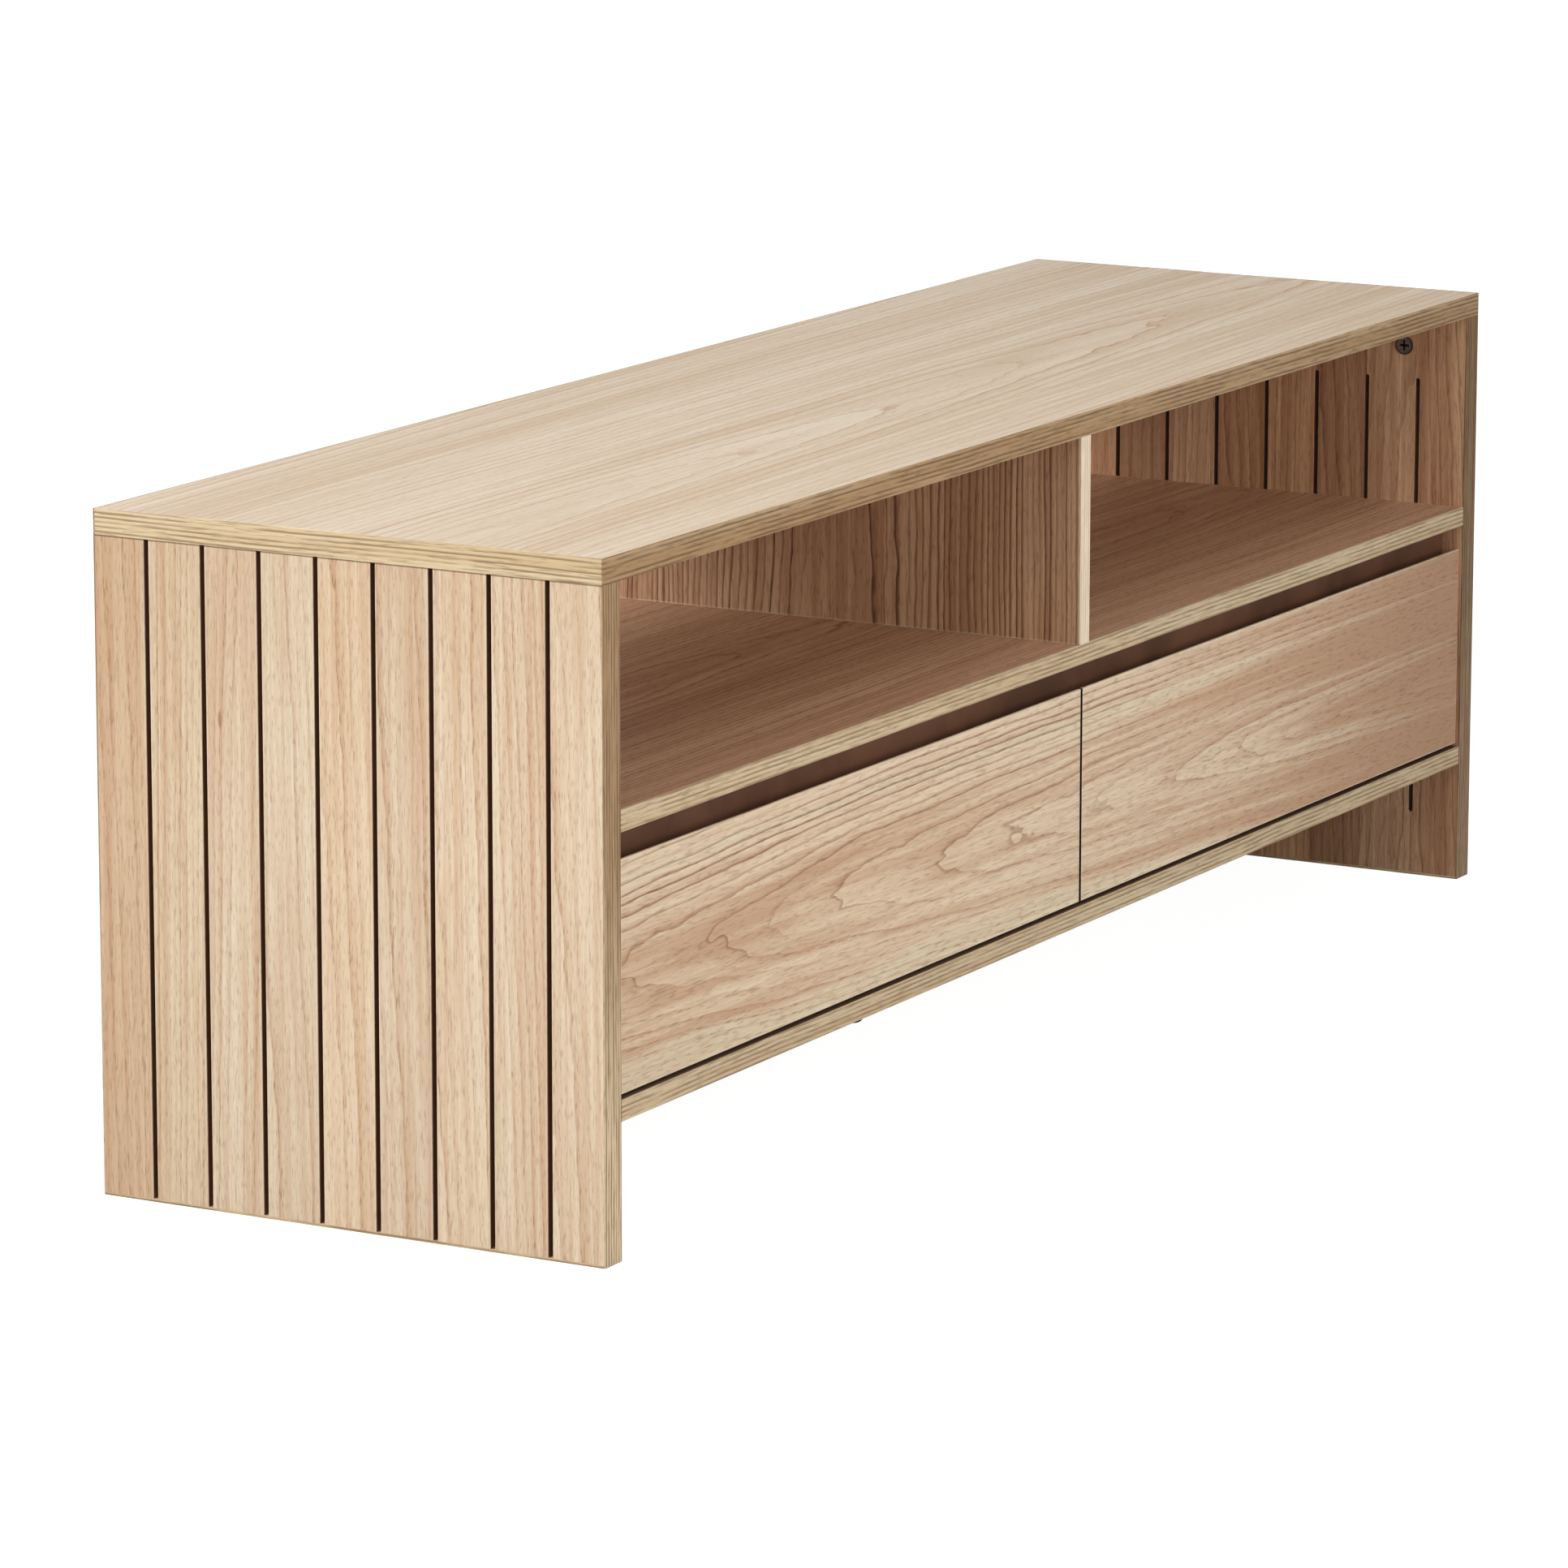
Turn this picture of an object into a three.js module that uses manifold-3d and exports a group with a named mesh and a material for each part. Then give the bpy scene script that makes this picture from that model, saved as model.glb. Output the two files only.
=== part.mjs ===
// Low media cabinet in oak-look board: two open bays above two drawers, between slatted sides.
//
// Millimetres. +X runs to the right as seen from the front, the front faces -Y and +Z is up.
// The origin lies on the floor, under the middle of the cabinet.
//
// Boards are flat panels with a separate edge band on each edge that shows. Each drawer runs on two
// three-part telescopic slides, and a leg under the middle keeps the bottom panel from sagging.

import * as THREE from 'three';
import { mergeVertices } from 'three/addons/utils/BufferGeometryUtils.js';
import Module from 'manifold-3d';

// ---------------------------------------------------------------- overall size
const WIDTH = 1400;
const DEPTH = 400;
const HEIGHT = 480;

// ---------------------------------------------------------------- boards
const TOP_THICKNESS = 18;
const SIDE_THICKNESS = 22;
const BOARD_THICKNESS = 15; // shelf, bottom, dividers, rail and drawer fronts
const BACK_THICKNESS = 3;
const EDGE_BAND = 1;
const FOOT_BAND = 2; // the band that each side panel stands on
const BAND_END_GAP = 0.6; // shelf and bottom bands stop this far short of the sides

// ---------------------------------------------------------------- levels
const FLOOR_CLEARANCE = 96; // floor to bottom panel
const DRAWER_BAY_HEIGHT = 182; // bottom panel to shelf

// ---------------------------------------------------------------- slatted sides
const SLAT_PITCH = 45;
const GROOVE_WIDTH = 4;
const GROOVE_DEPTH = 14; // cut from the outer face, the full height of the panel
const SLOT_MARGIN = 52; // panel end to the rounded end of the slot that opens each groove inwards

// ---------------------------------------------------------------- finger recess and rail
const RECESS_HEIGHT = 19; // shelf to drawer front
const RAIL_GAP = 1; // drawer front to rail
const RAIL_HEIGHT = 45;
const NOTCH_CLEARANCE = 0.4;

// ---------------------------------------------------------------- drawers
const FRONT_SETBACK = 2; // drawer front behind the cabinet's front
const FRONT_GAP = 3; // round each drawer front
const FRONT_LAND = 2; // flat left on top of the front, ahead of its finger bevel
const DRAWER_WALL = 12;
const DRAWER_RAIL_GAP = 10; // top of the drawer walls to the rail above them
const DRAWER_LIFT = 9; // bottom panel to drawer walls
const DRAWER_REAR_CLEARANCE = 30; // drawer walls to back panel
const DRAWER_BOTTOM = 5;
const BOTTOM_GROOVE_LIFT = 9; // lower edge of the drawer walls to the bottom's groove
const BOTTOM_GROOVE_DEPTH = 6;
const BOTTOM_CLEARANCE = 0.4; // round the drawer bottom in its grooves

// ---------------------------------------------------------------- telescopic slides
const SLIDE_WIDTH = 12.5; // between cabinet and drawer wall
const SLIDE_HEIGHT = 45;
const SLIDE_STEEL = 1.25;
const SLIDE_BALL_GAP = 3; // between nested flanges, where the balls run
const SLIDE_WEB_GAP = 1.5; // between outer and middle webs
const SLIDE_LIP_GAP = 1.5; // flange tips to the web they face
const SLIDE_INSET = 4; // behind the drawer front
const SLIDE_LIFT = 42; // bottom of the drawer walls to the slide's centre line

// ---------------------------------------------------------------- cam fasteners
const CAM_RADIUS = 7.5;
const CAM_DEPTH = 12.5;
const CAM_PROUD = 0.8;
const CAM_DROP = 26; // top of the side panel to the cam's centre
const CAM_GROOVE_WALL = 3; // left between a cam and the groove beside it
const CAM_CLEARANCE = 0.3;
const CROSS_LENGTH = 9;
const CROSS_WIDTH = 2;
const CROSS_DEPTH = 2.5;
const BOLT_FROM_FACE = 7; // inner face of the side panel to the bolt's axis
const BOLT_RADIUS = 3;
const BOLT_NECK_RADIUS = 2;
const BOLT_HEAD_LENGTH = 3;
const BOLT_NECK_LENGTH = 3.5;
const BOLT_IN_TOP = 11; // thread in the top panel
const BOLT_CLEARANCE = 0.4;

// ---------------------------------------------------------------- centre leg
const LEG_FROM_FRONT = 194;
const LEG_PLATE = 60;
const LEG_PLATE_THICKNESS = 3;
const LEG_PLATE_CORNER = 8;
const LEG_RADIUS = 11;
const FOOT_RADIUS = 9;
const FOOT_HEIGHT = 12;
const FOOT_ROUNDING = 4;
const FOOT_STEM_RADIUS = 4;
const FOOT_STEM_LENGTH = 30;
const FOOT_GAP = 2; // foot to the post above it
const STEM_CLEARANCE = 0.3;

const ROUND_SEGMENTS = 32;
const ARC_SEGMENTS = 6;
const OVERSHOOT = 2; // how far a cutting shape runs past the face that it opens

// ---------------------------------------------------------------- worked-out places
const LEFT = -1;
const RIGHT = 1;
const FRONT_Y = -DEPTH / 2;
const BACK_Y = DEPTH / 2;
const SIDE_TOP = HEIGHT - TOP_THICKNESS;
const INNER_X = WIDTH / 2 - SIDE_THICKNESS; // half of the clear width between the sides
const BOTTOM_TOP = FLOOR_CLEARANCE + BOARD_THICKNESS;
const SHELF_BOTTOM = BOTTOM_TOP + DRAWER_BAY_HEIGHT;
const SHELF_TOP = SHELF_BOTTOM + BOARD_THICKNESS;
const INNER_BACK_Y = BACK_Y - BACK_THICKNESS;
const DRAWER_FRONT_BACK_Y = FRONT_Y + FRONT_SETBACK + BOARD_THICKNESS;
const RAIL_FRONT_Y = DRAWER_FRONT_BACK_Y + RAIL_GAP;
const RAIL_BACK_Y = RAIL_FRONT_Y + BOARD_THICKNESS;
const RAIL_BOTTOM = SHELF_BOTTOM - RAIL_HEIGHT;
const DIVIDER_X = BOARD_THICKNESS / 2; // half of a divider's thickness

const SLAT_COUNT = Math.round(DEPTH / SLAT_PITCH);
const GROOVE_COUNT = SLAT_COUNT - 1;
const GROOVE_SPAN = (GROOVE_COUNT - 1) * SLAT_PITCH;
const grooveYs = Array.from({ length: GROOVE_COUNT }, (_, i) => i * SLAT_PITCH - GROOVE_SPAN / 2);

const DRAWER_BACK_Y = INNER_BACK_Y - DRAWER_REAR_CLEARANCE;
const DRAWER_BOX_DEPTH = DRAWER_BACK_Y - DRAWER_FRONT_BACK_Y;
const DRAWER_BASE = BOTTOM_TOP + DRAWER_LIFT;
const DRAWER_WALL_TOP = RAIL_BOTTOM - DRAWER_RAIL_GAP;
const DRAWER_FRONT_BOTTOM = BOTTOM_TOP + FRONT_GAP;
const DRAWER_FRONT_TOP = SHELF_BOTTOM - RECESS_HEIGHT;
const BAY_WIDTH = INNER_X - DIVIDER_X;
const BAY_CENTRE_X = (INNER_X + DIVIDER_X) / 2;
const DRAWER_BOX_X = BAY_WIDTH / 2 - SLIDE_WIDTH; // half of the drawer box's outer width
const DRAWER_INNER_X = DRAWER_BOX_X - DRAWER_WALL;
const BOTTOM_EDGE_X = DRAWER_INNER_X + BOTTOM_GROOVE_DEPTH - BOTTOM_CLEARANCE;
const GROOVE_LOW = DRAWER_BASE + BOTTOM_GROOVE_LIFT;
const GROOVE_HIGH = GROOVE_LOW + DRAWER_BOTTOM + 2 * BOTTOM_CLEARANCE;

// ---------------------------------------------------------------- finishes
const finish = (color, roughness, metalness = 0) => ({ color, roughness, metalness });
const OAK = finish(0xd9bd9a, 0.55);
const OAK_INSIDE = finish(0xa98467, 0.6);
const BAND = finish(0xcdb792, 0.5);
const RAIL_BROWN = finish(0x5d4234, 0.6);
const DRAWER_BOARD = finish(0xe4dccb, 0.6);
const HARDBOARD = finish(0xc9ab86, 0.7);
const BLACK_STEEL = finish(0x1d1c1b, 0.45, 0.4);
const ZINC = finish(0xb9bcc0, 0.35, 0.9);
const BRONZE = finish(0x2b2622, 0.4, 0.7);
const BLACK_PLASTIC = finish(0x151515, 0.5);

// ---------------------------------------------------------------- geometry helpers
const wasm = await Module();
wasm.setup();

const unitX = new THREE.Vector3(1, 0, 0);
const unitY = new THREE.Vector3(0, 1, 0);
const unitZ = new THREE.Vector3(0, 0, 1);

// Each matrix turns a shape drawn in x and y, extruded along z, so that the extrusion runs the
// named way. The shape's own x and y become Y and Z along X, and X and Z along Y.
const ALONG_X = new THREE.Matrix4().makeBasis(unitY, unitZ, unitX);
const ALONG_Y = new THREE.Matrix4().makeBasis(unitX, unitZ, unitY.clone().negate());
const ALONG_Z = new THREE.Matrix4();

/** A prism of the outline, with its length centred on the origin. */
function prism(outline, length, along) {
  const shape = Array.isArray(outline) ? shapeOf(outline) : outline;
  const settings = { depth: length, bevelEnabled: false, curveSegments: ARC_SEGMENTS };
  const geometry = new THREE.ExtrudeGeometry(shape, settings);
  geometry.translate(0, 0, -length / 2);
  geometry.applyMatrix4(along);
  return geometry;
}

function shapeOf(points) {
  return new THREE.Shape(points.map(([x, y]) => new THREE.Vector2(x, y)));
}

/** A block between two corners, placed in its geometry, for use in a cut. */
function blockBetween(low, high) {
  const [width, depth, height] = high.map((value, axis) => value - low[axis]);
  const geometry = new THREE.BoxGeometry(width, depth, height);
  geometry.translate(...high.map((value, axis) => (value + low[axis]) / 2));
  return geometry;
}

/** A round bar centred on the origin, its axis along the named way. */
function bar(radius, length, along) {
  const geometry = new THREE.CylinderGeometry(radius, radius, length, ROUND_SEGMENTS);
  geometry.rotateX(Math.PI / 2);
  geometry.applyMatrix4(along);
  return geometry;
}

function toSolid(geometry) {
  const bare = geometry.clone();
  bare.deleteAttribute('normal');
  bare.deleteAttribute('uv');
  const merged = mergeVertices(bare);
  const vertProperties = merged.attributes.position.array;
  const triVerts = Uint32Array.from(merged.index.array);
  return new wasm.Manifold(new wasm.Mesh({ numProp: 3, vertProperties, triVerts }));
}

/** The geometry with each of the cutting shapes taken out of it. */
function cut(geometry, cutters) {
  const solid = cutters.reduce((rest, cutter) => rest.subtract(toSolid(cutter)), toSolid(geometry));
  const mesh = solid.getMesh();
  const result = new THREE.BufferGeometry();
  result.setAttribute('position', new THREE.BufferAttribute(mesh.vertProperties, 3));
  result.setIndex(new THREE.BufferAttribute(mesh.triVerts, 1));
  result.computeVertexNormals();
  return result;
}

/** One named sub-part, placed at a point of its group. */
function addPart(group, name, geometry, look, position = [0, 0, 0]) {
  const mesh = new THREE.Mesh(geometry, new THREE.MeshStandardMaterial(look));
  mesh.name = name;
  mesh.position.set(...position);
  group.add(mesh);
}

/** A plain board or strip between two corners. */
function addBoard(group, name, look, low, high) {
  const [width, depth, height] = high.map((value, axis) => value - low[axis]);
  const centre = high.map((value, axis) => (value + low[axis]) / 2);
  addPart(group, name, new THREE.BoxGeometry(width, depth, height), look, centre);
}

// ---------------------------------------------------------------- cam fasteners
const camFromGroove = GROOVE_WIDTH / 2 + CAM_GROOVE_WALL + CAM_RADIUS;
const camY = [
  { end: 'front', y: grooveYs[0] + camFromGroove },
  { end: 'back', y: grooveYs[GROOVE_COUNT - 1] - camFromGroove },
];
const camZ = SIDE_TOP - CAM_DROP;
const boltX = (side) => side * (INNER_X + BOLT_FROM_FACE);

/** The pocket for the cam, and the bore that the bolt comes down, in one side panel. */
function fastenerCutters(side) {
  const pocketLength = CAM_DEPTH + CAM_CLEARANCE + OVERSHOOT;
  const pocketX = side * (INNER_X + CAM_DEPTH + CAM_CLEARANCE - pocketLength / 2);
  const boreLength = CAM_DROP + OVERSHOOT;
  return camY.flatMap(({ y }) => {
    const pocket = bar(CAM_RADIUS + CAM_CLEARANCE, pocketLength, ALONG_X);
    pocket.translate(pocketX, y, camZ);
    const bore = bar(BOLT_RADIUS + BOLT_CLEARANCE, boreLength, ALONG_Z);
    bore.translate(boltX(side), y, camZ + boreLength / 2);
    return [pocket, bore];
  });
}

/** A cam with a cross recess in its face and a slot where the bolt's head comes in. */
function camGeometry(side) {
  const length = CAM_DEPTH + CAM_PROUD;
  const faceX = -side * (length / 2);
  const outX = faceX - side * OVERSHOOT;
  const floorX = faceX + side * CROSS_DEPTH;
  const xs = [Math.min(outX, floorX), Math.max(outX, floorX)];
  const long = CROSS_LENGTH / 2;
  const short = CROSS_WIDTH / 2;
  const boltAxisX = side * (BOLT_FROM_FACE - CAM_DEPTH + length / 2);
  const headSlot = bar(BOLT_RADIUS + BOLT_CLEARANCE, CAM_RADIUS + OVERSHOOT, ALONG_Z);
  headSlot.translate(boltAxisX, 0, (CAM_RADIUS + OVERSHOOT) / 2 - BOLT_HEAD_LENGTH / 2);
  return cut(bar(CAM_RADIUS, length, ALONG_X), [
    blockBetween([xs[0], -long, -short], [xs[1], long, short]),
    blockBetween([xs[0], -short, -long], [xs[1], short, long]),
    headSlot,
  ]);
}

/** A bolt from its head, at the origin, up through a neck to the end of its thread. */
function boltGeometry() {
  const headTop = BOLT_HEAD_LENGTH;
  const neckTop = headTop + BOLT_NECK_LENGTH;
  const end = CAM_DROP + BOLT_IN_TOP;
  const profile = [
    [0, 0],
    [BOLT_RADIUS, 0],
    [BOLT_RADIUS, headTop],
    [BOLT_NECK_RADIUS, headTop],
    [BOLT_NECK_RADIUS, neckTop],
    [BOLT_RADIUS, neckTop],
    [BOLT_RADIUS, end],
    [0, end],
  ];
  return turned(profile);
}

/** A turned piece about Z, from its radius and height along the outline, bottom to top. */
function turned(profile) {
  const points = profile.map(([radius, height]) => new THREE.Vector2(radius, height));
  const geometry = new THREE.LatheGeometry(points, ROUND_SEGMENTS);
  geometry.rotateX(Math.PI / 2);
  return geometry;
}

function addFasteners(group) {
  for (const [side, sideName] of [[LEFT, 'left'], [RIGHT, 'right']]) {
    for (const { end, y } of camY) {
      const camX = side * (INNER_X + (CAM_DEPTH - CAM_PROUD) / 2);
      addPart(group, `cam_lock_${sideName}_${end}`, camGeometry(side), BRONZE, [camX, y, camZ]);
      const boltAt = [boltX(side), y, camZ];
      addPart(group, `cam_bolt_${sideName}_${end}`, boltGeometry(), ZINC, boltAt);
    }
  }
}

// ---------------------------------------------------------------- top
function addTop(group) {
  const x = WIDTH / 2;
  const coreX = x - EDGE_BAND;
  const coreY = DEPTH / 2 - EDGE_BAND;
  const holes = [LEFT, RIGHT].flatMap((side) => camY.map(({ y }) => {
    const length = BOLT_IN_TOP + BOLT_CLEARANCE + OVERSHOOT;
    const hole = bar(BOLT_RADIUS + BOLT_CLEARANCE, length, ALONG_Z);
    hole.translate(boltX(side), y, SIDE_TOP - OVERSHOOT + length / 2);
    return hole;
  }));
  const core = blockBetween([-coreX, -coreY, SIDE_TOP], [coreX, coreY, HEIGHT]);
  addPart(group, 'top_panel', cut(core, holes), OAK);
  addBoard(group, 'top_front_band', BAND, [-x, FRONT_Y, SIDE_TOP], [x, -coreY, HEIGHT]);
  addBoard(group, 'top_back_band', BAND, [-x, coreY, SIDE_TOP], [x, BACK_Y, HEIGHT]);
  addBoard(group, 'top_left_band', BAND, [-x, -coreY, SIDE_TOP], [-coreX, coreY, HEIGHT]);
  addBoard(group, 'top_right_band', BAND, [coreX, -coreY, SIDE_TOP], [x, coreY, HEIGHT]);
}

// ---------------------------------------------------------------- slatted sides
/** A slot with round ends, drawn in Y and Z about its centre. */
function slotShape(width, length) {
  const radius = width / 2;
  const straight = length / 2 - radius;
  const shape = new THREE.Shape();
  shape.absarc(0, straight, radius, 0, Math.PI);
  shape.absarc(0, -straight, radius, Math.PI, 2 * Math.PI);
  return shape;
}

/** The grooves in the outer face, and the slots that open them to the inside. */
function slatCutters(side) {
  const outerX = side * (WIDTH / 2 + OVERSHOOT);
  const grooveFloorX = side * (WIDTH / 2 - GROOVE_DEPTH);
  const innerX = side * (INNER_X - OVERSHOOT);
  const slotLength = SIDE_TOP - 2 * SLOT_MARGIN;
  const slotWidth = Math.abs(outerX - innerX);
  return grooveYs.flatMap((y) => {
    const groove = blockBetween(
      [Math.min(outerX, grooveFloorX), y - GROOVE_WIDTH / 2, -OVERSHOOT],
      [Math.max(outerX, grooveFloorX), y + GROOVE_WIDTH / 2, SIDE_TOP + OVERSHOOT],
    );
    const slot = prism(slotShape(GROOVE_WIDTH, slotLength), slotWidth, ALONG_X);
    slot.translate((outerX + innerX) / 2, y, SIDE_TOP / 2);
    return [groove, slot];
  });
}

function addSide(group, side, name) {
  const [lowX, highX] = side === LEFT ? [-WIDTH / 2, -INNER_X] : [INNER_X, WIDTH / 2];
  const coreFront = FRONT_Y + EDGE_BAND;
  const coreBack = BACK_Y - EDGE_BAND;
  const core = blockBetween([lowX, coreFront, FOOT_BAND], [highX, coreBack, SIDE_TOP]);
  const cutters = [...slatCutters(side), ...fastenerCutters(side)];
  addPart(group, `${name}_side_panel`, cut(core, cutters), OAK);
  addBoard(group, `${name}_side_front_band`, BAND,
    [lowX, FRONT_Y, 0], [highX, coreFront, SIDE_TOP]);
  addBoard(group, `${name}_side_back_band`, BAND,
    [lowX, coreBack, 0], [highX, BACK_Y, SIDE_TOP]);
  addBoard(group, `${name}_side_foot_band`, BAND,
    [lowX, coreFront, 0], [highX, coreBack, FOOT_BAND]);
}

// ---------------------------------------------------------------- shelf, bottom and dividers
/** A board from side to side, with a band along its front edge. */
function addShelfBoard(group, name, bandName, low) {
  const high = low + BOARD_THICKNESS;
  const coreFront = FRONT_Y + EDGE_BAND;
  const bandX = INNER_X - BAND_END_GAP;
  addBoard(group, name, OAK_INSIDE, [-INNER_X, coreFront, low], [INNER_X, INNER_BACK_Y, high]);
  addBoard(group, bandName, BAND, [-bandX, FRONT_Y, low], [bandX, coreFront, high]);
}

function addUpperDivider(group) {
  const coreFront = FRONT_Y + EDGE_BAND;
  const coreBack = BACK_Y - EDGE_BAND;
  addBoard(group, 'upper_divider', OAK_INSIDE,
    [-DIVIDER_X, coreFront, SHELF_TOP], [DIVIDER_X, coreBack, SIDE_TOP]);
  addBoard(group, 'divider_front_band', BAND,
    [-DIVIDER_X, FRONT_Y, SHELF_TOP], [DIVIDER_X, coreFront, SIDE_TOP]);
  addBoard(group, 'divider_back_band', BAND,
    [-DIVIDER_X, coreBack, SHELF_TOP], [DIVIDER_X, BACK_Y, SIDE_TOP]);
}

/** The divider between the drawers, notched at its upper front corner for the rail. */
function addLowerDivider(group) {
  const notchY = RAIL_BACK_Y + NOTCH_CLEARANCE;
  const notchZ = RAIL_BOTTOM - NOTCH_CLEARANCE;
  const outline = [
    [RAIL_FRONT_Y, BOTTOM_TOP],
    [INNER_BACK_Y, BOTTOM_TOP],
    [INNER_BACK_Y, SHELF_BOTTOM],
    [notchY, SHELF_BOTTOM],
    [notchY, notchZ],
    [RAIL_FRONT_Y, notchZ],
  ];
  addPart(group, 'lower_divider', prism(outline, BOARD_THICKNESS, ALONG_X), OAK_INSIDE);
}

function addCarcass(group) {
  addTop(group);
  addSide(group, LEFT, 'left');
  addSide(group, RIGHT, 'right');
  addShelfBoard(group, 'mid_shelf', 'shelf_front_band', SHELF_BOTTOM);
  addShelfBoard(group, 'bottom_panel', 'bottom_front_band', FLOOR_CLEARANCE);
  addUpperDivider(group);
  addLowerDivider(group);
  addBoard(group, 'front_rail', RAIL_BROWN,
    [-INNER_X, RAIL_FRONT_Y, RAIL_BOTTOM], [INNER_X, RAIL_BACK_Y, SHELF_BOTTOM]);
  addBoard(group, 'back_panel', HARDBOARD,
    [-INNER_X, INNER_BACK_Y, FLOOR_CLEARANCE], [INNER_X, BACK_Y, SHELF_TOP]);
  addFasteners(group);
}

// ---------------------------------------------------------------- centre leg
function roundedSquare(size, corner) {
  const straight = size / 2 - corner;
  const shape = new THREE.Shape();
  shape.absarc(straight, straight, corner, 0, Math.PI / 2);
  shape.absarc(-straight, straight, corner, Math.PI / 2, Math.PI);
  shape.absarc(-straight, -straight, corner, Math.PI, 1.5 * Math.PI);
  shape.absarc(straight, -straight, corner, 1.5 * Math.PI, 2 * Math.PI);
  return shape;
}

/** A plate under the bottom panel, a post, and a foot screwed into the post by its stem. */
function addCentreLeg(group) {
  const leg = new THREE.Group();
  leg.position.set(0, FRONT_Y + LEG_FROM_FRONT, 0);
  group.add(leg);

  const plateBottom = FLOOR_CLEARANCE - LEG_PLATE_THICKNESS;
  const plate = prism(roundedSquare(LEG_PLATE, LEG_PLATE_CORNER), LEG_PLATE_THICKNESS, ALONG_Z);
  const plateZ = plateBottom + LEG_PLATE_THICKNESS / 2;
  addPart(leg, 'leg_plate', plate, BLACK_STEEL, [0, 0, plateZ]);

  const postBottom = FOOT_HEIGHT + FOOT_GAP;
  const boreRadius = FOOT_STEM_RADIUS + STEM_CLEARANCE;
  const boreTop = FOOT_HEIGHT + FOOT_STEM_LENGTH + STEM_CLEARANCE;
  const post = turned([
    [0, boreTop],
    [boreRadius, boreTop],
    [boreRadius, postBottom],
    [LEG_RADIUS, postBottom],
    [LEG_RADIUS, plateBottom],
    [0, plateBottom],
  ]);
  addPart(leg, 'leg_post', post, BLACK_STEEL);

  const foot = turned([
    [0, 0],
    ...footRounding(),
    [FOOT_RADIUS, FOOT_HEIGHT],
    [FOOT_STEM_RADIUS, FOOT_HEIGHT],
    [FOOT_STEM_RADIUS, FOOT_HEIGHT + FOOT_STEM_LENGTH],
    [0, FOOT_HEIGHT + FOOT_STEM_LENGTH],
  ]);
  addPart(leg, 'leg_foot', foot, BLACK_PLASTIC);
}

/** The quarter round between the foot's sole and its rim. */
function footRounding() {
  return Array.from({ length: ARC_SEGMENTS + 1 }, (_, i) => {
    const angle = (i / ARC_SEGMENTS) * (Math.PI / 2);
    const radius = FOOT_RADIUS - FOOT_ROUNDING + FOOT_ROUNDING * Math.sin(angle);
    return [radius, FOOT_ROUNDING * (1 - Math.cos(angle))];
  });
}

// ---------------------------------------------------------------- telescopic slides
/** A C-shaped section: its web stands at webX, and its flanges reach to tipX. */
function channel(webX, tipX, halfHeight) {
  const towards = Math.sign(tipX - webX);
  const webInnerX = webX + towards * SLIDE_STEEL;
  const inner = halfHeight - SLIDE_STEEL;
  return [
    [webX, -halfHeight],
    [tipX, -halfHeight],
    [tipX, -inner],
    [webInnerX, -inner],
    [webInnerX, inner],
    [tipX, inner],
    [tipX, halfHeight],
    [webX, halfHeight],
  ];
}

/** The three nested sections of a slide, with x measured from the cabinet towards the drawer. */
function slideSections() {
  const nesting = SLIDE_STEEL + SLIDE_BALL_GAP;
  const outerHalf = SLIDE_HEIGHT / 2;
  const middleWebX = SLIDE_STEEL + SLIDE_WEB_GAP;
  const tipX = SLIDE_WIDTH - SLIDE_STEEL - SLIDE_LIP_GAP;
  return {
    outer: channel(0, tipX, outerHalf),
    middle: channel(middleWebX, tipX, outerHalf - nesting),
    inner: channel(SLIDE_WIDTH, middleWebX + SLIDE_STEEL + SLIDE_LIP_GAP, outerHalf - 2 * nesting),
  };
}

/** The two slides of one drawer, each against a wall of the bay. */
function addSlides(group, name) {
  const sections = slideSections();
  const length = DRAWER_BOX_DEPTH - SLIDE_INSET;
  const centreY = DRAWER_BACK_Y - length / 2;
  const centreZ = DRAWER_BASE + SLIDE_LIFT;
  for (const [side, sideName] of [[LEFT, 'left'], [RIGHT, 'right']]) {
    for (const [member, section] of Object.entries(sections)) {
      const outline = section.map(([x, z]) => [side * (BAY_WIDTH / 2 - x), z]);
      const geometry = prism(outline, length, ALONG_Y);
      addPart(group, `${name}_${sideName}_slide_${member}`, geometry, ZINC, [0, centreY, centreZ]);
    }
  }
}

// ---------------------------------------------------------------- drawers
/** The front, with a bevel behind its top edge for the fingers and a groove for the bottom. */
function drawerFront(width, grooveCentreX) {
  const low = FRONT_Y + FRONT_SETBACK;
  const bevel = BOARD_THICKNESS - FRONT_LAND;
  const outline = [
    [low, DRAWER_FRONT_BOTTOM],
    [DRAWER_FRONT_BACK_Y, DRAWER_FRONT_BOTTOM],
    [DRAWER_FRONT_BACK_Y, DRAWER_FRONT_TOP - bevel],
    [low + FRONT_LAND, DRAWER_FRONT_TOP],
    [low, DRAWER_FRONT_TOP],
  ];
  const grooveX = BOTTOM_EDGE_X + BOTTOM_CLEARANCE;
  const grooveFloorY = DRAWER_FRONT_BACK_Y - BOTTOM_GROOVE_DEPTH;
  const groove = blockBetween(
    [grooveCentreX - grooveX, grooveFloorY, GROOVE_LOW],
    [grooveCentreX + grooveX, DRAWER_FRONT_BACK_Y + OVERSHOOT, GROOVE_HIGH],
  );
  return cut(prism(outline, width, ALONG_X), [groove]);
}

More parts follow.
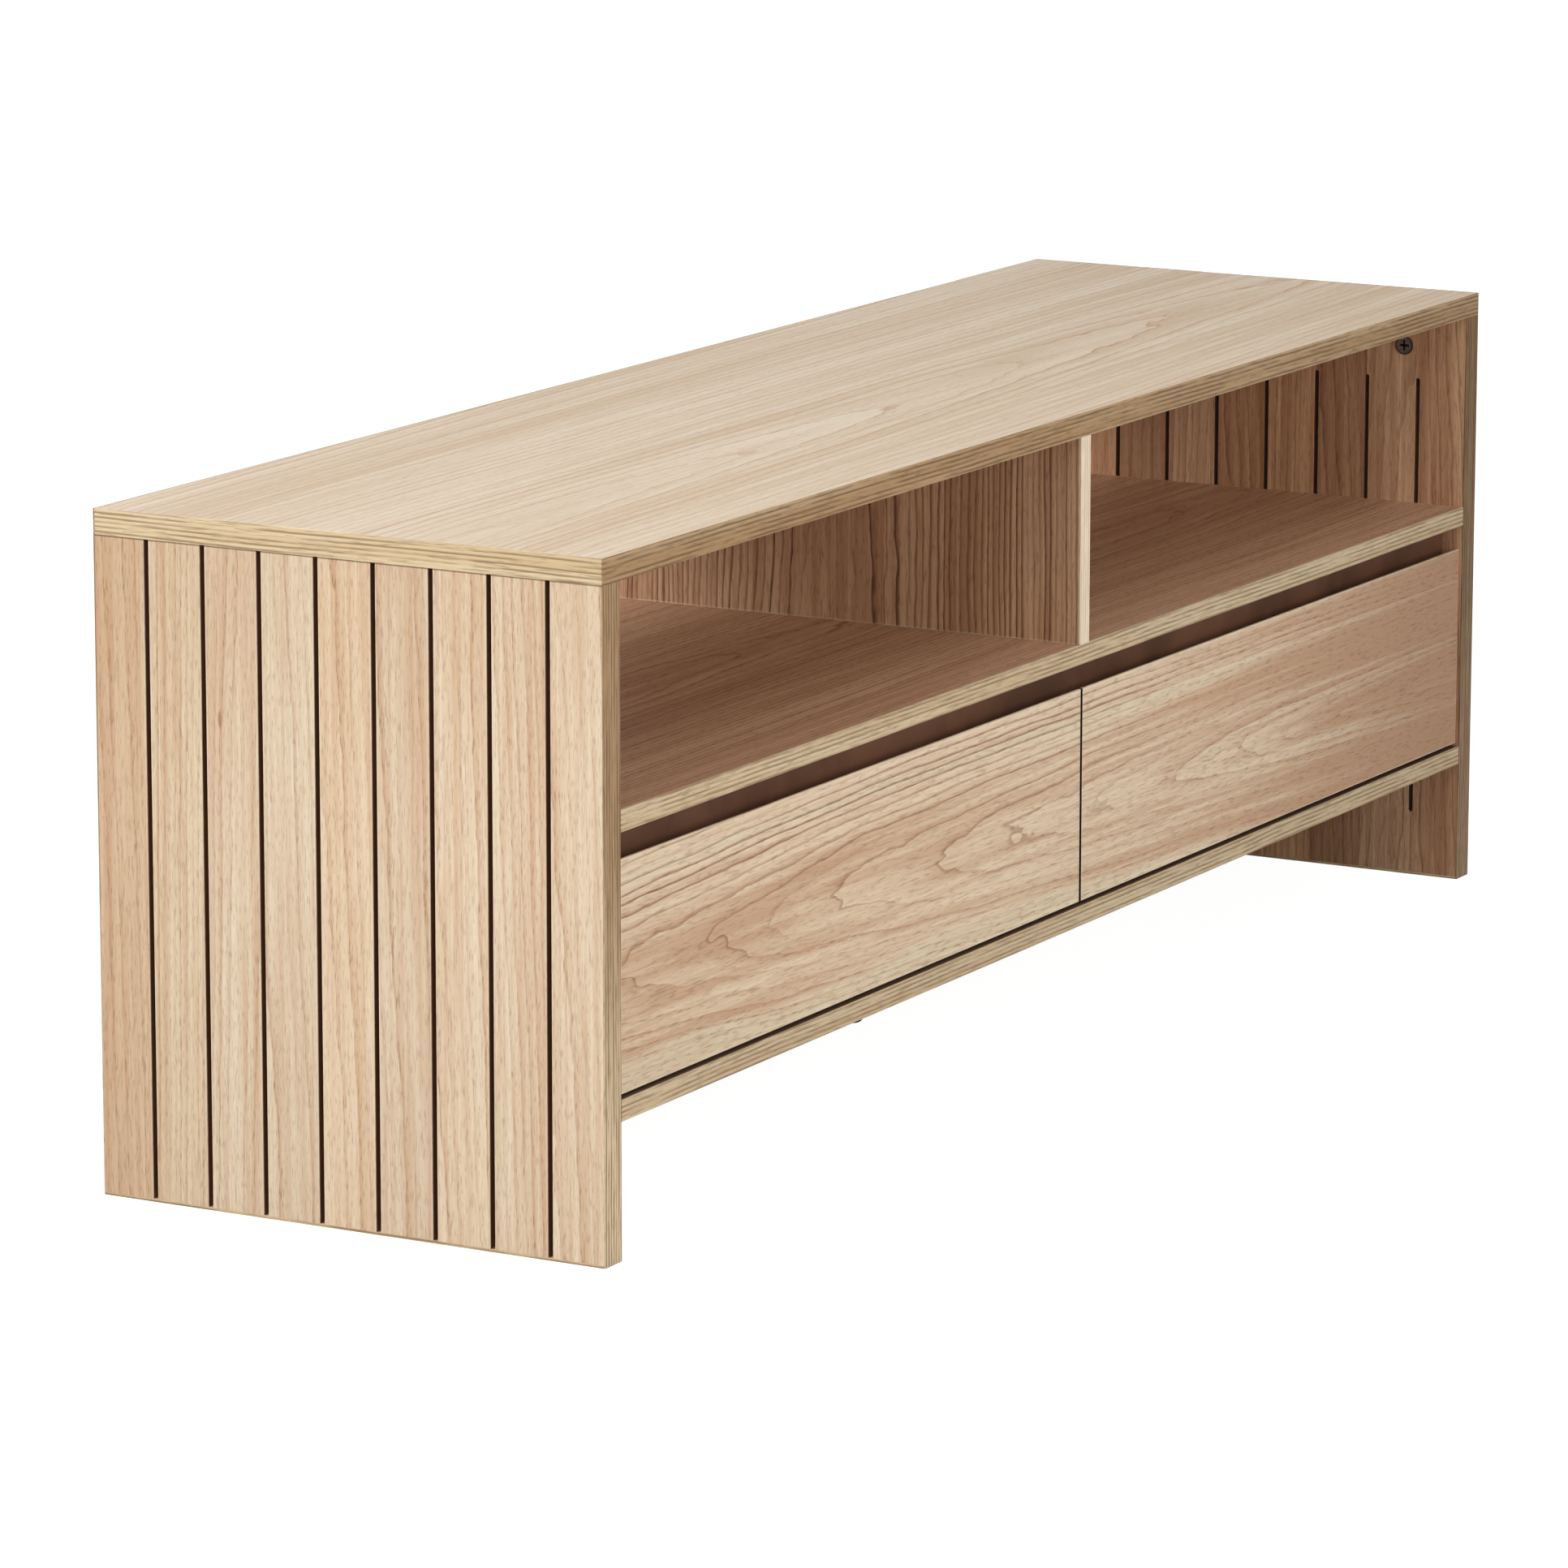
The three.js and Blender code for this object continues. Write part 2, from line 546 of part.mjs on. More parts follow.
/** A side wall's section in X and Z, grooved on its inner face for the bottom. */
function drawerWallSection(side) {
  const grooveFloorX = DRAWER_INNER_X + BOTTOM_GROOVE_DEPTH;
  return [
    [DRAWER_INNER_X, DRAWER_BASE],
    [DRAWER_BOX_X, DRAWER_BASE],
    [DRAWER_BOX_X, DRAWER_WALL_TOP],
    [DRAWER_INNER_X, DRAWER_WALL_TOP],
    [DRAWER_INNER_X, GROOVE_HIGH],
    [grooveFloorX, GROOVE_HIGH],
    [grooveFloorX, GROOVE_LOW],
    [DRAWER_INNER_X, GROOVE_LOW],
  ].map(([x, z]) => [side * x, z]);
}

/** One drawer and its slides, about the middle of its bay. */
function addDrawer(group, side, name) {
  const bay = new THREE.Group();
  bay.position.set(side * BAY_CENTRE_X, 0, 0);
  group.add(bay);

  const frontWidth = INNER_X - 1.5 * FRONT_GAP;
  const frontX = side * ((INNER_X - FRONT_GAP + FRONT_GAP / 2) / 2 - BAY_CENTRE_X);
  addPart(bay, `${name}_front`, drawerFront(frontWidth, -frontX), OAK, [frontX, 0, 0]);

  const wallY = (DRAWER_FRONT_BACK_Y + DRAWER_BACK_Y) / 2;
  for (const [wall, wallName] of [[LEFT, 'left'], [RIGHT, 'right']]) {
    const geometry = prism(drawerWallSection(wall), DRAWER_BOX_DEPTH, ALONG_Y);
    addPart(bay, `${name}_${wallName}_wall`, geometry, DRAWER_BOARD, [0, wallY, 0]);
  }
  addBoard(bay, `${name}_back`, DRAWER_BOARD,
    [-DRAWER_INNER_X, DRAWER_BACK_Y - DRAWER_WALL, GROOVE_HIGH],
    [DRAWER_INNER_X, DRAWER_BACK_Y, DRAWER_WALL_TOP]);
  addBoard(bay, `${name}_bottom`, HARDBOARD,
    [-BOTTOM_EDGE_X, DRAWER_FRONT_BACK_Y - BOTTOM_GROOVE_DEPTH + BOTTOM_CLEARANCE,
      GROOVE_LOW + BOTTOM_CLEARANCE],
    [BOTTOM_EDGE_X, DRAWER_BACK_Y, GROOVE_HIGH - BOTTOM_CLEARANCE]);
  addSlides(bay, name);
}

// ---------------------------------------------------------------- the whole cabinet
const cabinet = new THREE.Group();
addCarcass(cabinet);
addCentreLeg(cabinet);
addDrawer(cabinet, LEFT, 'left_drawer');
addDrawer(cabinet, RIGHT, 'right_drawer');

export default cabinet;
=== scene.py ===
"""The looks of a media cabinet with slatted sides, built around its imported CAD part.

Every length is in metres, in the part's own frame: X along the cabinet, -Y its front, Z up from the floor.
A colour is an sRGB code, such as "d8c0a0".
"""

import math
from dataclasses import dataclass, replace

import bpy
from mathutils import Matrix, Vector


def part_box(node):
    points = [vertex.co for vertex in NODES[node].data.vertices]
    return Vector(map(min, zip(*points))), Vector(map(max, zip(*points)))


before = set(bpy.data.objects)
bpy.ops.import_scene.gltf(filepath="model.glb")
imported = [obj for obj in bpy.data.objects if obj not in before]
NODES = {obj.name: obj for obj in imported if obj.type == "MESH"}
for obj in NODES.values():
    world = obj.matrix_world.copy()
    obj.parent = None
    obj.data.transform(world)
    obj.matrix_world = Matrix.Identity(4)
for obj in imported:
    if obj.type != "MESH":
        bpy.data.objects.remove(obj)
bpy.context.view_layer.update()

# The sides' grooves, as the CAD part has them.
SLAT_PITCH = 0.045
SLATS = 9
GROOVE = 0.004
SIDE_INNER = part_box("right_side_panel")[0].x
SIDE_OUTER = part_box("right_side_panel")[1].x
SIDE_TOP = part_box("right_side_panel")[1].z

BAND_ARRIS = 0.0003  # how much an edge band's arrises are rounded
ARRIS = 0.0004  # how much all the others are
WELD_DISTANCE = 1e-5
SHARP = math.radians(50)  # an edge that turns more than this is an arris

NOWHERE = 9.0  # a place off every board, for a mark that a board doesn't have

ARRIS_HIGHLIGHT = "efe2cc"  # veneer paled along an arris: a painted highlight
GAP_PAINTED_SHADE = "2b1a12"  # painted shade in a narrow gap
JOINT_PAINTED_SHADE = "5a3d2a"  # painted shade in the line where a side meets the top
KNOT = "9a6244"
CUT_BOARD_AND_SHADE = "7a5236"  # the board that the grooves and slots cut open, darkened with painted shade in them

# ---------------------------------------------------------------- shader fields


def colour(code):
    """The linear colour of an sRGB code."""
    channels = [int(code[i : i + 2], 16) / 255 for i in (0, 2, 4)]
    return (*[c / 12.92 if c <= 0.04045 else ((c + 0.055) / 1.055) ** 2.4 for c in channels], 1.0)


class Field:
    """A shader socket that takes plain arithmetic, so that a pattern reads as a formula."""

    def __init__(self, graph, socket):
        self.graph = graph
        self.socket = socket

    def __add__(self, other):
        return self.graph.math("ADD", self, other)

    def __sub__(self, other):
        return self.graph.math("SUBTRACT", self, other)

    def __rsub__(self, other):
        return self.graph.math("SUBTRACT", other, self)

    def __mul__(self, other):
        return self.graph.math("MULTIPLY", self, other)

    def __truediv__(self, other):
        return self.graph.math("DIVIDE", self, other)

    def __pow__(self, other):
        return self.graph.math("POWER", self, other)

    def __abs__(self):
        return self.graph.math("ABSOLUTE", self)

    __radd__ = __add__
    __rmul__ = __mul__


class Graph:
    """One material's node tree."""

    def __init__(self, name):
        self.material = bpy.data.materials.new(name)
        self.material.use_nodes = True
        self.tree = self.material.node_tree
        self.tree.nodes.clear()

    def node(self, kind, **settings):
        """A new shader node."""
        made = self.tree.nodes.new("ShaderNode" + kind)
        for key, value in settings.items():
            setattr(made, key, value)
        return made

    def feed(self, socket, value):
        """Links a field to a socket, or sets a plain value on it."""
        if isinstance(value, Field):
            self.tree.links.new(value.socket, socket)
        else:
            socket.default_value = value

    def math(self, operation, *values):
        """The result of a Math node."""
        node = self.node("Math", operation=operation)
        for socket, value in zip(node.inputs, values):
            self.feed(socket, value)
        return Field(self, node.outputs[0])

    def place(self):
        """The point's x, y and z in the part's frame at rest, which ride with its body."""
        node = self.node("SeparateXYZ")
        self.tree.links.new(self.node("TexCoord").outputs["Object"], node.inputs[0])
        return [Field(self, output) for output in node.outputs]

    def noise(self, x, y, z, detail=2.0, roughness=0.5):
        """Noise from 0 to 1 around 0.5, whose lumps are about one unit long."""
        joined = self.node("CombineXYZ")
        for socket, value in zip(joined.inputs, (x, y, z)):
            self.feed(socket, value)
        node = self.node("TexNoise")
        node.inputs["Scale"].default_value = 1.0
        node.inputs["Detail"].default_value = detail
        node.inputs["Roughness"].default_value = roughness
        self.tree.links.new(joined.outputs[0], node.inputs["Vector"])
        return Field(self, node.outputs[0])

    def mottle(self, place, lumps, detail=2.0):
        """Noise that is the same in every direction, with so many lumps in a metre."""
        return self.noise(*[value * lumps for value in place], detail=detail)

    def chance(self, value):
        """A random number from 0 to 1 for each value, the same in each run."""
        node = self.node("TexWhiteNoise", noise_dimensions="1D")
        self.feed(node.inputs["W"], value)
        return Field(self, node.outputs["Value"])

    def step(self, value, start, end):
        """0 at start, 1 at end, smooth between them and level outside. end may be the smaller one."""
        node = self.node("MapRange", interpolation_type="SMOOTHSTEP")
        self.feed(node.inputs["Value"], value)
        self.feed(node.inputs["From Min"], start)
        self.feed(node.inputs["From Max"], end)
        return Field(self, node.outputs["Result"])

    def mix(self, share, first, second, blend="MIX"):
        """The colour first where share is 0, and second where it is 1."""
        node = self.node("Mix", data_type="RGBA", blend_type=blend)
        self.feed(node.inputs[0], share)
        self.feed(node.inputs[6], first)
        self.feed(node.inputs[7], second)
        return Field(self, node.outputs[2])

    def palette(self, share, codes):
        """One of the colours, each with an equal part of 0 to 1."""
        node = self.node("ValToRGB")
        node.color_ramp.interpolation = "CONSTANT"
        stops = node.color_ramp.elements
        while len(stops) < len(codes):
            stops.new(0.5)
        for index, code in enumerate(codes):
            stops[index].position = index / len(codes)
            stops[index].color = colour(code)
        self.feed(node.inputs[0], share)
        return Field(self, node.outputs[0])

    def surface(self, base, roughness, height, relief, specular, metallic=0.0):
        """Closes the tree with a shader, its bump relief metres deep where height goes from 0 to 1."""
        shader = self.node("BsdfPrincipled")
        self.feed(shader.inputs["Base Color"], base)
        self.feed(shader.inputs["Roughness"], roughness)
        shader.inputs["Specular IOR Level"].default_value = specular
        shader.inputs["Metallic"].default_value = metallic
        bump = self.node("Bump")
        bump.inputs["Distance"].default_value = relief
        self.feed(bump.inputs["Height"], height)
        self.tree.links.new(bump.outputs[0], shader.inputs["Normal"])
        output = self.node("OutputMaterial")
        self.tree.links.new(shader.outputs[0], output.inputs["Surface"])
        return self.material


# ---------------------------------------------------------------- wood


@dataclass
class Wood:
    """How one board's oak looks. Its rings lie round a heart that runs along the grain, below the face."""

    pale: str = "e0c6a6"  # the ground
    warm: str = "cba17f"  # its bands, streaks and fibres
    dark: str = "94694e"  # ring lines and pores
    end_shade: str = "80583a"  # the colour of the painted shade at the board's ends
    cream: str = "e9dcbe"  # sapwood and the pale streak
    ring: float = 0.005  # one year's growth
    heart: float = 0.0  # the heart's place across the board
    slant: float = 0.0  # how far the heart moves across, for each metre along
    depth: float = 0.05  # how far the heart lies below the face
    lean: float = 0.03  # how much deeper it lies, for each metre along
    wander: float = 0.03  # how far the heart strays across
    ripple: float = 0.005  # how far the rings stray
    jag: float = 0.003  # how far they zigzag where they are cut flat
    uneven: float = 0.8  # how uneven the years are, in rings
    lopsided: float = 0.0  # how much of the lines is lost below the heart
    sap: float = NOWHERE  # where the sapwood starts, below the heart
    streak: float = NOWHERE  # a pale streak's place, above the heart
    turn: float = 0.0  # how much painted shade darkens the board towards its ends
    calm: float = 0.0  # how much of the lines is lost on the right half
    lines: float = 0.6  # how dark the ring lines are
    bands: float = 0.8  # how strong the bands are
    streaks: float = 1.5  # how strong the fine streaks in them are
    pores: float = 0.4  # how dark the pores are
    grain: float = 1.0  # how fine the streaks, fibres and pores are
    relief: float = 0.0002  # the bump's depth
    seed: float = 0.0  # picks the board


WOOD_SPECULAR = 0.35

# How many lumps the layers of an oak face have, in a metre along the grain and in a metre across it.
DRIFT_LUMPS = (1.1, 2.0)
RIPPLE_LUMPS = (5.0, 24.0)
ZIGZAG_LUMPS = (34.0, 100.0)
BAND_LUMPS = (0.9, 16.0)
STREAK_LUMPS = (2.5, 150.0)
FIBRE_LUMPS = (22.0, 528.0)
PORE_LUMPS = (80.0, 640.0)

# A ring's line on the face: how wide its sharp edge is, then where it starts to fade and where it is gone.
LINE_EDGE = 0.0003
LINE_FADES = 0.0005
LINE_GONE = 0.0022


def oak_pattern(graph, along, across, through, wood, heart=None):
    """The colour and the height of an oak face. along is the direction of the grain.

    heart is the heart's place across the board, if it isn't the wood's own.
    """
    through = through + wood.seed

    def layer(lumps, finer=1.0, detail=2.0, roughness=0.5):
        """Noise that is long along the grain."""
        lengthwise, crosswise = (number * finer for number in lumps)
        return graph.noise(
            along * lengthwise, across * crosswise, through * crosswise, detail=detail, roughness=roughness
        )

    drift = layer(DRIFT_LUMPS, detail=1.0) - 0.5
    ripple = layer(RIPPLE_LUMPS) - 0.5
    zigzag = layer(ZIGZAG_LUMPS, detail=1.5) - 0.5

    # The rings, as circles round the heart.
    side = across - (wood.heart if heart is None else heart) - along * wood.slant + drift * wood.wander
    depth = wood.depth + along * wood.lean + ripple * wood.ripple
    radius = (side * side + depth * depth) ** 0.5
    flat_cut = depth * depth / (radius * radius)
    rings = (radius + ripple * wood.ripple + zigzag * flat_cut * wood.jag) / wood.ring
    rings = rings + (graph.noise(rings * 0.45, wood.seed, 0.0, detail=1.0) - 0.5) * wood.uneven
    count = graph.math("FLOOR", rings)
    year = rings - count
    strength = graph.chance(count + wood.seed * 7.0) * 0.8 + 0.2

    # Each ring's line keeps its width on the face, however flat the cut.
    slope = (abs(side) / radius + flat_cut * 0.15 + 0.03) / wood.ring
    line = graph.step(year, 0.0, slope * LINE_EDGE) * graph.step(year, slope * LINE_GONE, slope * LINE_FADES)
    line = line * strength * (1.0 - graph.step(side, -0.004, -0.02) * wood.lopsided)
    line = line * (1.0 - graph.step(along, -0.05, 0.2) * wood.calm)
    after = (1.0 - year) ** 2.0 * strength

    tone = graph.noise(rings * 0.31, along * 0.35, wood.seed, detail=2.0, roughness=0.6) - 0.5
    broad = layer(BAND_LUMPS) - 0.5
    streak = layer(STREAK_LUMPS, finer=wood.grain, detail=3.0, roughness=0.6) - 0.5
    fibre = layer(FIBRE_LUMPS, finer=wood.grain, detail=3.0, roughness=0.7)
    pore = layer(PORE_LUMPS, finer=wood.grain, detail=1.0)
    pore = graph.step(pore, 0.53, 0.68) * (after * 0.6 + 0.4)

    # Painted shade and light: the board's ends are darker, the right one most, and its middle is paler.
    painted_end_shade = (graph.step(along, 0.2, 0.7) + graph.step(along, -0.3, -0.7) * 0.3) * wood.turn
    glow = graph.step(abs(along), 0.3, 0.0) * wood.turn * 0.35
    share = (tone * 1.6 + broad + streak * wood.streaks + after * 0.5 - 0.1) * wood.bands
    share = share + painted_end_shade - glow + 0.5
    base = graph.mix(graph.step(share, 0.0, 1.0), colour(wood.pale), colour(wood.warm))

    edge = graph.math("MAXIMUM", along, 0.0) * 0.05 + wood.sap
    sapwood = graph.step(-1.0 * side + ripple * 0.03 - edge, -0.004, 0.006)
    pale_streak = graph.step(abs(side - wood.streak + ripple * 0.012), 0.007, 0.001)
    pale_streak = pale_streak * graph.step(along, 0.45, 0.1)
    base = graph.mix(graph.math("MAXIMUM", sapwood, pale_streak) * 0.7, base, colour(wood.cream))
    base = graph.mix(graph.step(fibre, 0.35, 0.75) * 0.5, base, colour(wood.warm))
    base = graph.mix(painted_end_shade * 0.5, base, colour(wood.end_shade))
    base = graph.mix(line * wood.lines, base, colour(wood.dark))
    base = graph.mix(pore * wood.pores, base, colour(wood.dark))
    height = fibre * 0.5 - pore * 0.8 - line * 0.2
    return base, height


def arris_gap(graph, place, low, high):
    """How far a point on a box's face is from the box's nearest arris."""
    gaps = [
        graph.math("MINIMUM", value - start, end - value) for value, start, end in zip(place, low, high)
    ]
    near = graph.math("MINIMUM", gaps[0], gaps[1])
    far = graph.math("MAXIMUM", gaps[0], gaps[1])
    return graph.math("MAXIMUM", near, graph.math("MINIMUM", far, gaps[2]))


HIGHLIGHT_WIDTH = 0.0016  # how far from an arris the painted highlight reaches
HIGHLIGHT_FULL = 0.0002  # how far it is at its brightest
HIGHLIGHT_STRENGTH = 0.4  # how strong the painted highlight is there


def paint_arris_highlight(graph, base, gap, place):
    """Pales the base along the arrises, unevenly: a painted highlight."""
    uneven = (graph.mottle(place, 60.0) - 0.5) * HIGHLIGHT_WIDTH
    return graph.mix(graph.step(gap + uneven, HIGHLIGHT_WIDTH, HIGHLIGHT_FULL) * HIGHLIGHT_STRENGTH, base, colour(ARRIS_HIGHLIGHT))


def directed(place, order):
    """The place's fields in the order asked for: along the grain, across it and through the board."""
    return [place["xyz".index(letter)] for letter in order]


def oak(name, order, wood, node, mirrored=False, shade=None):
    """The material of a veneered board, whose arrises are those of a CAD node and, if mirrored, of its twin.

    shade picks, from the board's place, where it lies in a narrow gap and is darkened with painted shade.
    """
    graph = Graph(name)
    place = graph.place()
    base, height = oak_pattern(graph, *directed(place, order), wood)
    x, y, z = place
    gap = arris_gap(graph, (abs(x) if mirrored else x, y, z), *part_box(node))
    # Painted highlight along the board's arrises.
    base = paint_arris_highlight(graph, base, gap, place)
    # Painted shade where the board lies in a narrow gap.
    if shade:
        base = graph.mix(shade(graph, x, y, z), base, colour(GAP_PAINTED_SHADE))
    return graph.surface(base, height * -0.12 + 0.5, height, wood.relief, specular=WOOD_SPECULAR)


def meeting_end(graph, x, y, z):
    """Painted shade on the drawer fronts' ends that face each other."""
    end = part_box("right_drawer_front")[0].x
    return graph.step(abs(x), end + 0.0003, end + 0.0001)


def under_drawers(graph, x, y, z):
    """Painted shade on the bottom panel's upper face, under the drawer fronts."""
    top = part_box("bottom_panel")[1].z
    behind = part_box("right_drawer_front")[1].y
    return graph.step(z, top - 0.0004, top - 0.0001) * graph.step(y, behind, behind - 0.004) * 0.8


# The slats' tints from the front to the back, on a side's outer face and on its inner face. On the outer face
# they darken towards the back, partly as painted shade.
SLAT_TINTS_AND_SHADE = ["ffffff", "ffffff", "fffefd", "fafafa", "fdf9f4", "f9f9f9", "fafafa", "f4f0ea", "ece0d6"]
INSIDE_TINTS = ["f8f2ee", "ffffff", "e0d6d0", "fffaf0", "ece2d6", "ffffff", "e0d6d0", "f8eeea", "f8eeea"]

UPPER_PAINTED_SHADE = "f6f3f0"  # painted shade towards a slat's top
UPPER_START = 0.26  # the height where the painted shade starts
KNOT_HALF_WIDTH = 0.0016
KNOT_HALF_HEIGHT = 0.006
JOINT_FULL = 0.0004  # how far below the top panel the painted shade of its joint is full
JOINT_FADES = 0.0012  # and where it has faded
CUT_STARTS = 0.0005  # how far below a side's face the cuts' colour starts
CUT_FULL = 0.0012  # and where it is full


def slatted_oak(name, wood, inner, knot=(NOWHERE, NOWHERE)):
    """A grooved side: a board of its own in each slat, dark board in the cuts, partly painted shade, and a
    small knot at (y, z).
    """
    graph = Graph(name)
    x, y, z = graph.place()
    slat = graph.math("FLOOR", y / SLAT_PITCH + SLATS / 2)
    share = (slat + 0.5) / SLATS
    luck = graph.chance(slat + wood.seed)
    through = slat * 0.73 + graph.chance(slat + wood.seed + 40.5)

    # A slat's heart lies at least 30 mm beside its middle, so its grain runs nearly straight.
    middle = (slat - (SLATS - 1) / 2) * SLAT_PITCH
    heart = middle + (luck - 0.5) * 0.14 + graph.math("SIGN", luck - 0.5) * 0.03

    face, height = oak_pattern(graph, z + luck * 5.0, y, through, wood, heart)
    # Each slat's tint, with painted shade towards the back.
    face = graph.mix(1.0, face, graph.palette(share, SLAT_TINTS_AND_SHADE), "MULTIPLY")
    # Painted shade: each slat darkens towards its top.
    face = graph.mix(graph.step(z, UPPER_START, SIDE_TOP), face, colour(UPPER_PAINTED_SHADE), "MULTIPLY")
    knot_y = (y - knot[0]) / KNOT_HALF_WIDTH
    knot_z = (z - knot[1]) / KNOT_HALF_HEIGHT
    face = graph.mix(graph.step(knot_y * knot_y + knot_z * knot_z, 1.6, 0.2) * 0.6, face, colour(KNOT))
    to_cut = SLAT_PITCH / 2 - GROOVE / 2 - abs(y - middle)
    # Painted highlight along the grooves' arrises.
    face = paint_arris_highlight(graph, face, to_cut, (x, y, z))
    # Painted shade along the joint under the top panel.
    joint_shade = graph.step(z, SIDE_TOP - JOINT_FADES, SIDE_TOP - JOINT_FULL)
    face = graph.mix(joint_shade * 0.7, face, colour(JOINT_PAINTED_SHADE))

    inside = oak_pattern(graph, z + luck * 3.0, y, through + 0.31, inner, heart)[0]
    inside = graph.mix(1.0, inside, graph.palette(share, INSIDE_TINTS), "MULTIPLY")
    depth = abs(x)
    on_outer = graph.step(depth, SIDE_OUTER - CUT_FULL, SIDE_OUTER - CUT_STARTS)
    on_inner = graph.step(depth, SIDE_INNER + CUT_FULL, SIDE_INNER + CUT_STARTS)
    # The cuts' board is darkened with painted shade in the grooves and slots.
    base = graph.mix(on_outer, graph.mix(on_inner, colour(CUT_BOARD_AND_SHADE), inside), face)
    return graph.surface(base, height * -0.1 + 0.52, height, wood.relief, specular=WOOD_SPECULAR)


LANE = 0.0034  # from one dark line of an edge band to the next
BAND_MARKS = 0.85  # how dark an edge band's lines are


def edge_band(name, order, seed, pale, shade, dark, foot=None):
    """A straight-grained edge band: broken dark lines along it on a ground that may pale towards a foot, as
    painted light from the floor.
    """
    graph = Graph(name)
    along, across, through = directed(graph.place(), order)
    sway = graph.noise(along * 4.0, across * 12.0, seed, detail=2.0) - 0.5
    lanes = (across + sway * 0.005) / LANE + seed
    count = graph.math("FLOOR", lanes)
    lane = lanes - count
    kept = graph.noise(along * 10.0, count * 3.7, seed, detail=3.0, roughness=0.6)
    line = graph.step(lane, 0.0, 0.25) * graph.step(lane, 0.7, 0.3) * graph.step(kept, 0.34, 0.56)
    dash = graph.noise(along * 55.0, across * 900.0, through * 9.0 + seed, detail=2.0, roughness=0.6)
    dash = graph.step(dash, 0.5, 0.7)
    broad = graph.noise(along * 1.6, across * 110.0, through * 9.0 + seed, detail=3.0)
    base = graph.mix(graph.step(broad, 0.3, 0.7), colour(pale), colour(shade))
    # Painted light from the floor: the ground pales towards the foot.
    if foot:
        base = graph.mix(graph.step(along, 0.3, 0.02) * 0.85, base, colour(foot))
    base = graph.mix(line * BAND_MARKS, base, colour(dark))
    base = graph.mix(dash * BAND_MARKS * 0.6, base, colour(dark))
    height = dash * -0.5 - line * 0.4
    return graph.surface(base, height * -0.1 + 0.45, height, 0.0002, specular=WOOD_SPECULAR)


# ---------------------------------------------------------------- other finishes


def painted(name, base, blotch, roughness, relief, metallic=0.0):
    """A plain finish with a faint mottle and an orange-peel relief."""
    graph = Graph(name)
    place = graph.place()
    cloud = graph.mottle(place, 14.0, detail=3.0)
    peel = graph.mottle(place, 900.0)
    tint = graph.mix(graph.step(cloud, 0.3, 0.7), colour(base), colour(blotch))
    rough = peel * 0.12 + (roughness - 0.06)
    return graph.surface(tint, rough, peel, relief, specular=0.4, metallic=metallic)


def fibreboard(name, base, fleck):
    """A fibreboard's face: short fine fibres, some lying and some standing, darker than their ground."""
    graph = Graph(name)
    x, y, z = graph.place()
    lying = graph.noise(x * 260.0, y * 260.0, z * 1100.0, detail=2.0, roughness=0.7)
    standing = graph.noise(x * 1100.0, y * 1100.0, z * 260.0, detail=2.0, roughness=0.7)
    even = graph.mottle((x, y, z), 5.0, detail=1.0)
    tint = graph.mix(graph.step(lying, 0.5, 0.75) * 0.55, colour(base), colour(fleck))
    tint = graph.mix(graph.step(standing, 0.5, 0.75) * 0.55, tint, colour(fleck))
    tint = graph.mix(graph.step(even, 0.35, 0.65) * 0.15, tint, colour(fleck))
    return graph.surface(tint, lying * 0.1 + 0.5, lying + standing, 0.00005, specular=0.3)


RIM_STARTS = 0.0058  # from the cam lock's axis
RIM_FULL = 0.0066
CROSS_REACH = 0.0044  # half the length of the cam lock's cross
CROSS_HALF_WIDTH = 0.0009
CROSS_SOFTNESS = 0.0002


def cam_metal(name):
    """The cam lock's face: a mottled disc with a dark rim and a cross to turn it by, painted near-black as
    the shade in its recess.
    """
    graph = Graph(name)
    x, y, z = graph.place()
    low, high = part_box("cam_lock_right_front")
    centre = (low + high) / 2
    level = abs(abs(y) - abs(centre.y))
    upright = abs(z - centre.z)
    away = (level * level + upright * upright) ** 0.5
    rim = graph.step(away, RIM_STARTS, RIM_FULL)
    arm = graph.math("MINIMUM", level, upright)
    slot = graph.step(arm, CROSS_HALF_WIDTH + CROSS_SOFTNESS, CROSS_HALF_WIDTH - CROSS_SOFTNESS)
    slot = slot * graph.step(away, CROSS_REACH + CROSS_SOFTNESS, CROSS_REACH - CROSS_SOFTNESS)
    peel = graph.mottle((x, y, z), 900.0)
    tint = graph.mix(graph.step(peel, 0.3, 0.7), colour("8a8074"), colour("5a5148"))
    tint = graph.mix(rim * 0.7, tint, colour("3a342e"))
    # Painted shade: the cross is near-black, as its recess's shade.
    tint = graph.mix(slot, tint, colour("0c0a08"))
    return graph.surface(tint, peel * 0.12 + 0.28, peel * 0.1 - slot, 0.0004, specular=0.6, metallic=0.55)


# ---------------------------------------------------------------- the cabinet's materials

DRAWER_OAK = Wood(
    pale="eed9bb",
    warm="cda787",
    dark="865a42",
    seed=7.3,
    heart=0.184,
    slant=-0.015,
    depth=0.035,
    lean=-0.043,
    wander=0.015,
    sap=0.056,
    streak=0.067,
    turn=0.6,
    bands=1.05,
    calm=0.85,
    lopsided=0.8,
    lines=0.75,
    pores=0.5,
)
TOP_OAK = Wood(
    pale="e8dac6",
    warm="d4bda2",
    dark="bc8d6f",
    seed=3.1,
    heart=-0.06,
    slant=0.03,
    ring=0.008,
    bands=0.95,
)
SLAT_OAK = Wood(
    pale="f7e7cc",
    warm="dfbd9c",
    dark="a2714f",
    depth=0.03,
    lean=0.02,
    wander=0.02,
    ring=0.004,
    lines=0.2,
    streaks=1.9,
    pores=0.6,
    ripple=0.003,
    jag=0.002,
    grain=1.5,
)
